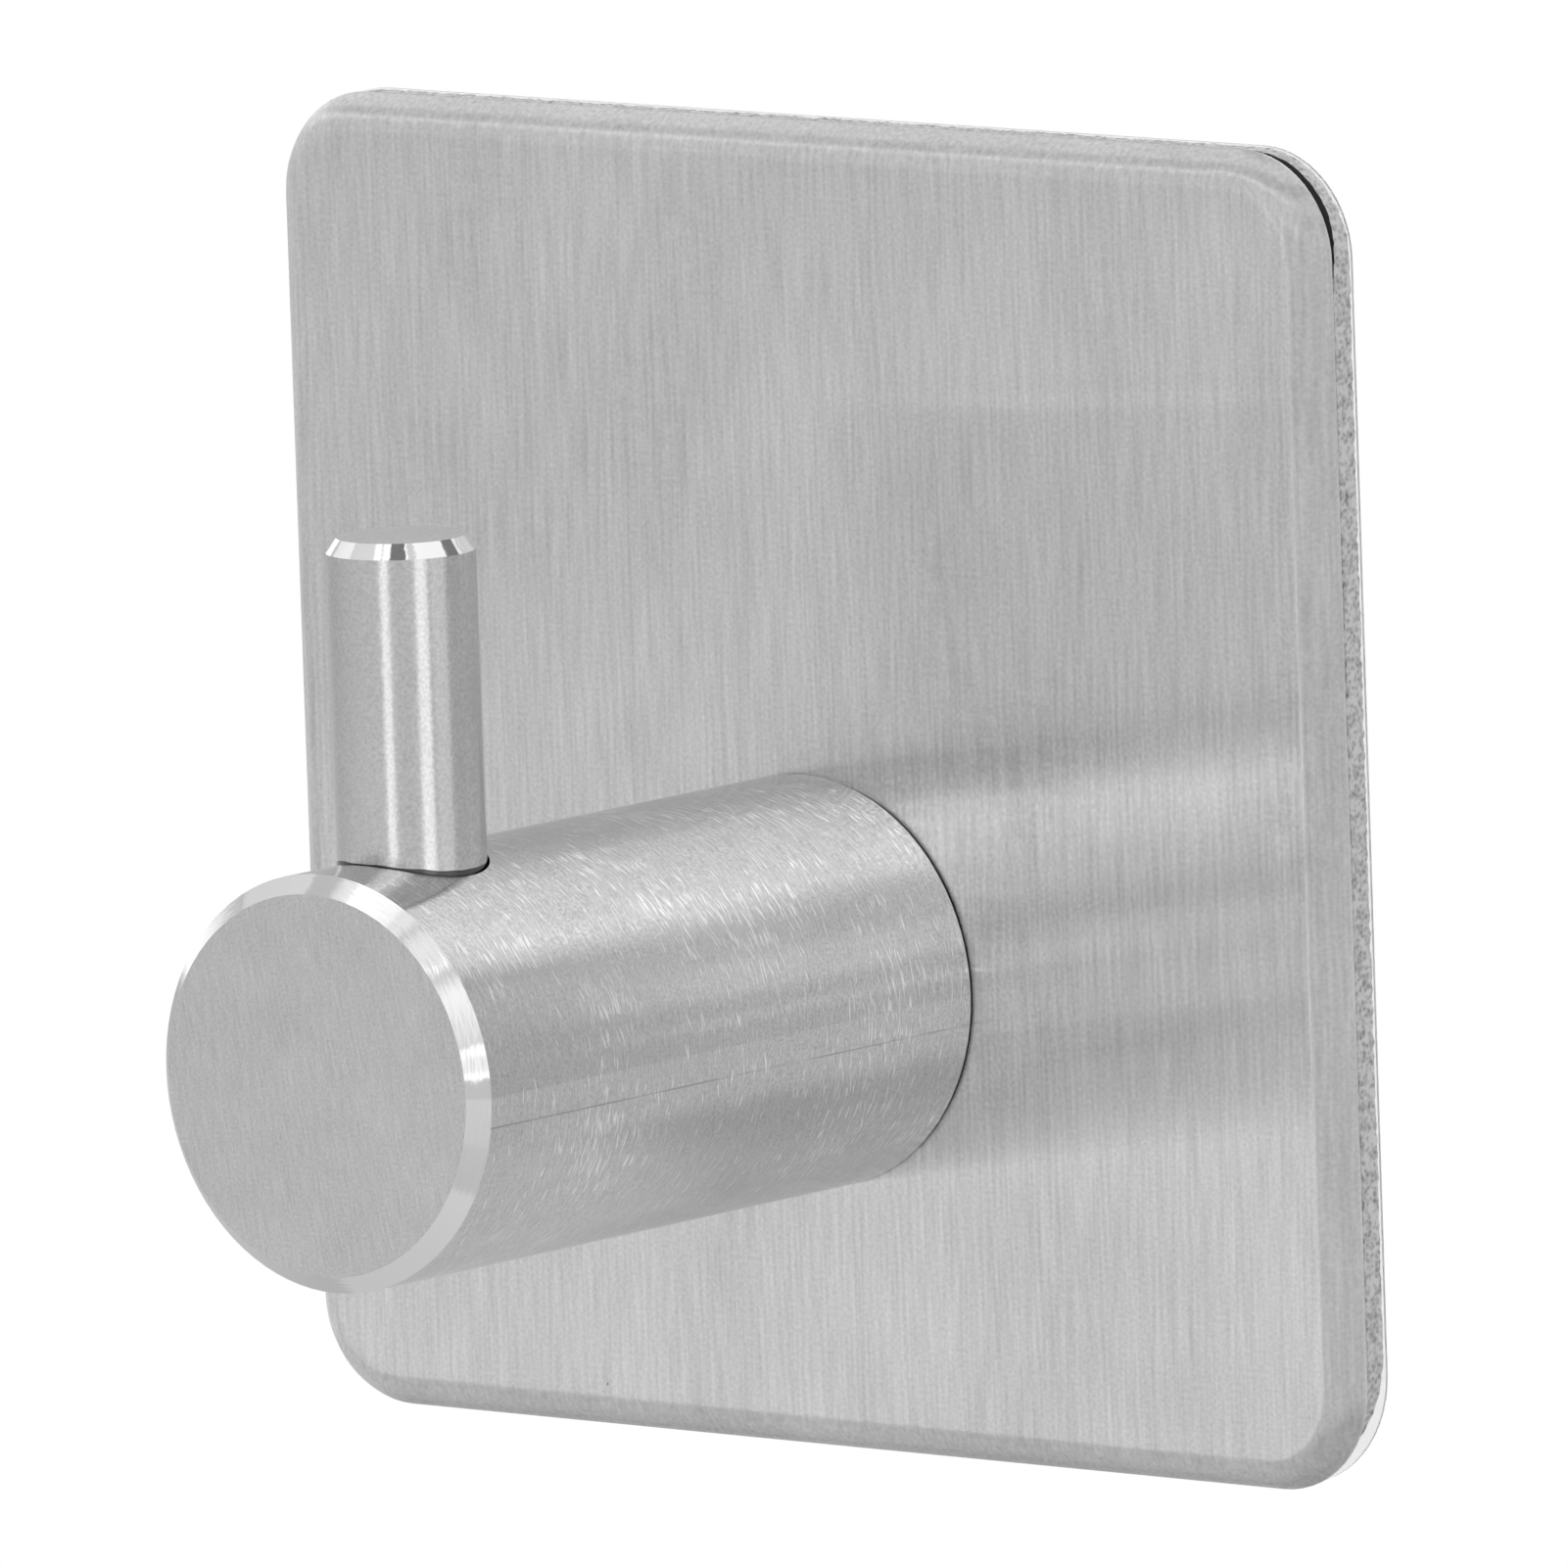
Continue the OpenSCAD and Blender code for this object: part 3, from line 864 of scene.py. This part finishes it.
# Painted shade: the foam's front is painted near-black, and it shows in the gap at the corner as the
# shade inside it
facing = add(tree, "ShaderNodeNewGeometry").outputs["Normal"]
shaded_front = add(tree, "ShaderNodeSeparateXYZ", {0: facing}).outputs["Y"]
shaded_front = {"Value": shaded_front, "From Min": -0.75, "From Max": -0.95}
shaded_front = add(tree, "ShaderNodeMapRange", shaded_front).outputs[0]
colour = {0: shaded_front, 6: colour, 7: PAINTED_GAP_SHADE}
colour = add(tree, "ShaderNodeMix", colour, data_type="RGBA").outputs[2]
# Painted shade along the seam against the plate: the foam is darkened in an uneven band next to its
# front, for the dark line of the seam
seam = add(tree, "ShaderNodeSeparateXYZ", {0: place}).outputs["Y"]
seam = {0: grain, 1: FOAM_SEAM_SHADE_REACH, 2: seam}
seam = add(tree, "ShaderNodeMath", seam, operation="MULTIPLY_ADD").outputs[0]
seam = {
    "Value": seam,
    "From Min": pad_low.y + 1.2 * FOAM_SEAM_SHADE_REACH,
    "From Max": pad_low.y + 0.4 * FOAM_SEAM_SHADE_REACH,
    "To Max": 0.7,
}
seam = add(tree, "ShaderNodeMapRange", seam).outputs[0]
colour = {0: seam, 6: colour, 7: PAINTED_GAP_SHADE}
colour = add(tree, "ShaderNodeMix", colour, data_type="RGBA").outputs[2]
relief = add(tree, "ShaderNodeBump", {"Height": cells, "Strength": 0.5, "Distance": 0.05 * MM})
shader = add(tree, "ShaderNodeBsdfPrincipled", {
    "Base Color": colour,
    "Roughness": 0.85,
    "IOR": 1.5,
    "Normal": relief.outputs[0],
})
add(tree, "ShaderNodeOutputMaterial", {"Surface": shader.outputs[0]})
foam.data.materials.append(material)
print("Nodes in the foam's material:", len(tree.nodes))

# %% [markdown]
# ## The release film
# A clear film covers the adhesive until the hook is put up. It shows as a pale sliver at the lower
# right corner, where it is left squarer for a fingernail, and the grey foam shows through it on the
# back. Faint wrinkles from the roll keep the back from looking like paint. A thin solid of clear
# plastic that light passes through gives both, where a white one would hide the foam.

# %% Siliconised release film
# Siliconised polyester film: nearly clear, with a soft sheen and long faint wrinkles.
FILM_CLEAR = linear("#ffffff")
FILM_HAZE = linear("#f6f6f6")
WRINKLE = Vector((14, 14, 3)) * MM
material, tree = new_material("siliconised_release_film")
place = add(tree, "ShaderNodeTexCoord").outputs["Object"]
spread = {"Vector": place, "Scale": WRINKLE}
spread = add(tree, "ShaderNodeMapping", spread, vector_type="TEXTURE").outputs[0]
wrinkle = {"Vector": spread, "Scale": 1, "Detail": 3}
wrinkle = add(tree, "ShaderNodeTexNoise", wrinkle).outputs["Fac"]
colour = {0: wrinkle, 6: FILM_HAZE, 7: FILM_CLEAR}
colour = add(tree, "ShaderNodeMix", colour, data_type="RGBA").outputs[2]
rough = {"Value": wrinkle, "To Min": 0.3, "To Max": 0.45}
rough = add(tree, "ShaderNodeMapRange", rough).outputs[0]
relief = {"Height": wrinkle, "Strength": 0.4, "Distance": 0.3 * MM}
relief = add(tree, "ShaderNodeBump", relief)
shader = add(tree, "ShaderNodeBsdfPrincipled", {
    "Base Color": colour,
    "Roughness": rough,
    "IOR": 1.45,
    "Transmission Weight": 0.95,
    "Normal": relief.outputs[0],
})
add(tree, "ShaderNodeOutputMaterial", {"Surface": shader.outputs[0]})
nodes["release_liner"].material_slots[0].material = material
print("Nodes in the film's material:", len(tree.nodes))

# %% [markdown]
# ## Measure and finish
# The finished hook must still fill the box that its CAD model fills, so the box of what is drawn is
# printed.

# %% Measure and finish
low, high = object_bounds()
print("Visual box in mm:", [round(side / MM, 2) for side in high - low])
